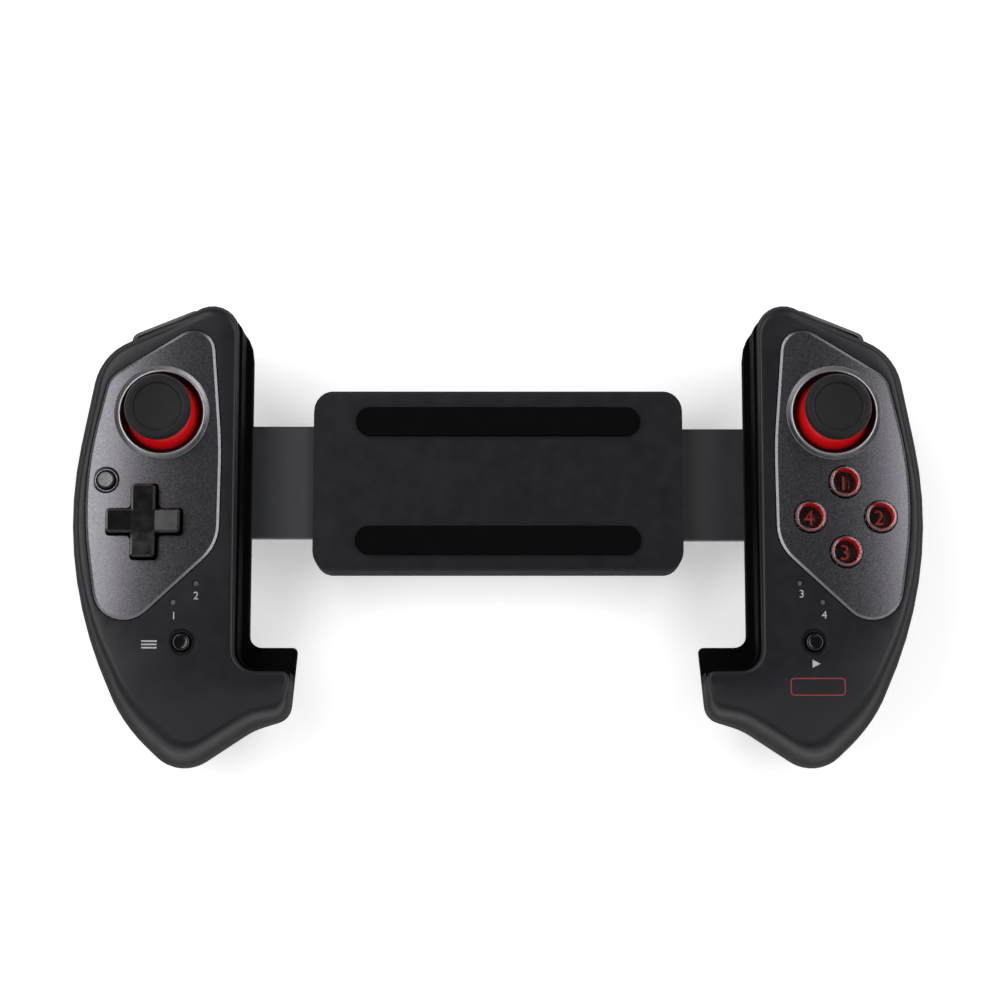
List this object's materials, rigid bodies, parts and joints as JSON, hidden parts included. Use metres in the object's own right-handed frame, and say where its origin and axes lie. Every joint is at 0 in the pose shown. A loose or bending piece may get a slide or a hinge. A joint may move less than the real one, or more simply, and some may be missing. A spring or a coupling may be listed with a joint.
{
  "type": "mobile game controller",
  "caption": "Telescopic mobile game controller: two moulded grips with thumbsticks, buttons and triggers on a spring-loaded bridge that clamps a phone or small tablet between them.",
  "frame": {"origin": "middle of the footprint, on the plane that the grips rest on", "axes": "X across the clamp to the right, Y up the grips, Z out of the faces towards the player; lies on its back"},
  "size_m": [0.2372, 0.1306, 0.0484],
  "materials": {
    "shell_plastic": "fine satin moulded texture",
    "plate_paint": "satin metallic paint with fine sparkle",
    "liner_rubber": "matt moulded",
    "bezel_metal": "satin turned",
    "cap_rubber": "matt moulded",
    "dome_plastic": "polished",
    "button_plastic": "polished",
    "action_plastic": "polished, two-colour",
    "mode_plastic": "satin",
    "lens_plastic": "frosted",
    "inner_plastic": "as moulded",
    "board_laminate": "solder mask",
    "bright_steel": "zinc plated",
    "spring_steel": "drawn wire",
    "cell_foil": "laminated foil"
  },
  "bodies": {
    "bridge": {"bridge_front_cover": "shell_plastic", "bridge_rear_cover": "shell_plastic", "bridge_pads": "liner_rubber", "bridge_screws": "bright_steel", "left_return_spring": "spring_steel", "right_return_spring": "spring_steel"},
    "left_grip": {"left_front_shell": "shell_plastic", "left_rear_shell": "shell_plastic", "left_face_plate": "plate_paint", "left_clamp_liner": "liner_rubber", "left_stick_bezel": "bezel_metal", "left_stick_housing": "bright_steel", "left_led_lenses": "lens_plastic", "left_trigger_pin": "bright_steel", "left_trigger_spring": "spring_steel", "left_circuit_board": "board_laminate", "left_button_mat": "cap_rubber", "left_screws": "bright_steel", "left_slider": "inner_plastic", "battery": "cell_foil"},
    "right_grip": {"right_front_shell": "shell_plastic", "right_rear_shell": "shell_plastic", "right_face_plate": "plate_paint", "right_clamp_liner": "liner_rubber", "right_stick_bezel": "bezel_metal", "right_stick_housing": "bright_steel", "right_led_lenses": "lens_plastic", "right_trigger_pin": "bright_steel", "right_trigger_spring": "spring_steel", "right_circuit_board": "board_laminate", "right_button_mat": "cap_rubber", "right_screws": "bright_steel", "right_slider": "inner_plastic", "charge_port": "bright_steel"},
    "left_stick_seat": {"left_stick_carrier": "inner_plastic"},
    "left_stick_yoke": {"left_stick_gimbal": "inner_plastic"},
    "left_stick": {"left_stick_dome": "dome_plastic", "left_stick_cap": "cap_rubber"},
    "left_menu_button": {"left_menu_button": "button_plastic"},
    "left_shoulder_button": {"left_shoulder_button": "button_plastic"},
    "left_trigger": {"left_trigger": "button_plastic"},
    "right_stick_seat": {"right_stick_carrier": "inner_plastic"},
    "right_stick_yoke": {"right_stick_gimbal": "inner_plastic"},
    "right_stick": {"right_stick_dome": "dome_plastic", "right_stick_cap": "cap_rubber"},
    "right_menu_button": {"right_menu_button": "button_plastic"},
    "right_shoulder_button": {"right_shoulder_button": "button_plastic"},
    "right_trigger": {"right_trigger": "button_plastic"},
    "direction_rocker": {"direction_pivot": "bright_steel"},
    "direction_pad": {"direction_pad": "button_plastic"},
    "mode_button": {"mode_button": "mode_plastic"},
    "top_button": {"top_button": "action_plastic"},
    "outer_button": {"outer_button": "action_plastic"},
    "bottom_button": {"bottom_button": "action_plastic"},
    "inner_button": {"inner_button": "action_plastic"}
  },
  "joints": [
    {"name": "left_slide", "type": "slide", "parent": "bridge", "child": "left_grip", "axis": [-1, 0, 0], "range_m": [-0.016, 0.059], "stiffness_N_per_m": 30, "springref_m": -0.016, "deforming": ["left_return_spring"]},
    {"name": "left_stick_press", "type": "slide", "parent": "left_grip", "child": "left_stick_seat", "axis": [0, 0, -1], "range_m": [0, 0.0005], "stiffness_N_per_m": 3000, "springref_m": -0.001},
    {"name": "left_stick_pitch", "type": "hinge", "parent": "left_stick_seat", "child": "left_stick_yoke", "pos_m": [-0.0932, 0.0324, 0.0297], "axis": [1, 0, 0], "range_deg": [-15, 15], "stiffness_Nm_per_rad": 0.15},
    {"name": "left_stick_roll", "type": "hinge", "parent": "left_stick_yoke", "child": "left_stick", "pos_m": [-0.0932, 0.0324, 0.0297], "axis": [0, 1, 0], "range_deg": [-15, 15], "stiffness_Nm_per_rad": 0.15},
    {"name": "left_menu_press", "type": "slide", "parent": "left_grip", "child": "left_menu_button", "axis": [0, 0, -1], "range_m": [0, 0.0008], "stiffness_N_per_m": 1200, "springref_m": -0.0005, "deforming": ["left_button_mat"]},
    {"name": "left_shoulder_press", "type": "slide", "parent": "left_grip", "child": "left_shoulder_button", "axis": [0.3778, -0.9259, 0], "range_m": [0, 0.0012], "stiffness_N_per_m": 1200, "springref_m": -0.0005},
    {"name": "left_trigger_pull", "type": "hinge", "parent": "left_grip", "child": "left_trigger", "pos_m": [-0.09124, 0.05235, 0.0083], "axis": [-0.9259, -0.3778, 0], "range_deg": [0, 14], "stiffness_Nm_per_rad": 0.25, "springref_deg": -5.73, "deforming": ["left_trigger_spring"]},
    {"name": "right_slide", "type": "slide", "parent": "bridge", "child": "right_grip", "axis": [1, 0, 0], "range_m": [-0.016, 0.059], "stiffness_N_per_m": 30, "springref_m": -0.016, "deforming": ["right_return_spring"]},
    {"name": "right_stick_press", "type": "slide", "parent": "right_grip", "child": "right_stick_seat", "axis": [0, 0, -1], "range_m": [0, 0.0005], "stiffness_N_per_m": 3000, "springref_m": -0.001},
    {"name": "right_stick_pitch", "type": "hinge", "parent": "right_stick_seat", "child": "right_stick_yoke", "pos_m": [0.0932, 0.0324, 0.0297], "axis": [1, 0, 0], "range_deg": [-15, 15], "stiffness_Nm_per_rad": 0.15},
    {"name": "right_stick_roll", "type": "hinge", "parent": "right_stick_yoke", "child": "right_stick", "pos_m": [0.0932, 0.0324, 0.0297], "axis": [0, 1, 0], "range_deg": [-15, 15], "stiffness_Nm_per_rad": 0.15},
    {"name": "right_menu_press", "type": "slide", "parent": "right_grip", "child": "right_menu_button", "axis": [0, 0, -1], "range_m": [0, 0.0008], "stiffness_N_per_m": 1200, "springref_m": -0.0005, "deforming": ["right_button_mat"]},
    {"name": "right_shoulder_press", "type": "slide", "parent": "right_grip", "child": "right_shoulder_button", "axis": [-0.3778, -0.9259, 0], "range_m": [0, 0.0012], "stiffness_N_per_m": 1200, "springref_m": -0.0005},
    {"name": "right_trigger_pull", "type": "hinge", "parent": "right_grip", "child": "right_trigger", "pos_m": [0.09124, 0.05235, 0.0083], "axis": [-0.9259, 0.3778, 0], "range_deg": [0, 14], "stiffness_Nm_per_rad": 0.25, "springref_deg": -5.73, "deforming": ["right_trigger_spring"]},
    {"name": "direction_pitch", "type": "hinge", "parent": "left_grip", "child": "direction_rocker", "pos_m": [-0.0974, 0.0018, 0.034], "axis": [1, 0, 0], "range_deg": [-5, 5], "stiffness_Nm_per_rad": 0.2},
    {"name": "direction_roll", "type": "hinge", "parent": "direction_rocker", "child": "direction_pad", "pos_m": [-0.0974, 0.0018, 0.034], "axis": [0, 1, 0], "range_deg": [-5, 5], "stiffness_Nm_per_rad": 0.2},
    {"name": "mode_press", "type": "slide", "parent": "left_grip", "child": "mode_button", "axis": [0, 0, -1], "range_m": [0, 0.0008], "stiffness_N_per_m": 1200, "springref_m": -0.0005},
    {"name": "top_press", "type": "slide", "parent": "right_grip", "child": "top_button", "axis": [0, 0, -1], "range_m": [0, 0.0012], "stiffness_N_per_m": 1000, "springref_m": -0.0005},
    {"name": "outer_press", "type": "slide", "parent": "right_grip", "child": "outer_button", "axis": [0, 0, -1], "range_m": [0, 0.0012], "stiffness_N_per_m": 1000, "springref_m": -0.0005},
    {"name": "bottom_press", "type": "slide", "parent": "right_grip", "child": "bottom_button", "axis": [0, 0, -1], "range_m": [0, 0.0012], "stiffness_N_per_m": 1000, "springref_m": -0.0005},
    {"name": "inner_press", "type": "slide", "parent": "right_grip", "child": "inner_button", "axis": [0, 0, -1], "range_m": [0, 0.0012], "stiffness_N_per_m": 1000, "springref_m": -0.0005}
  ]
}
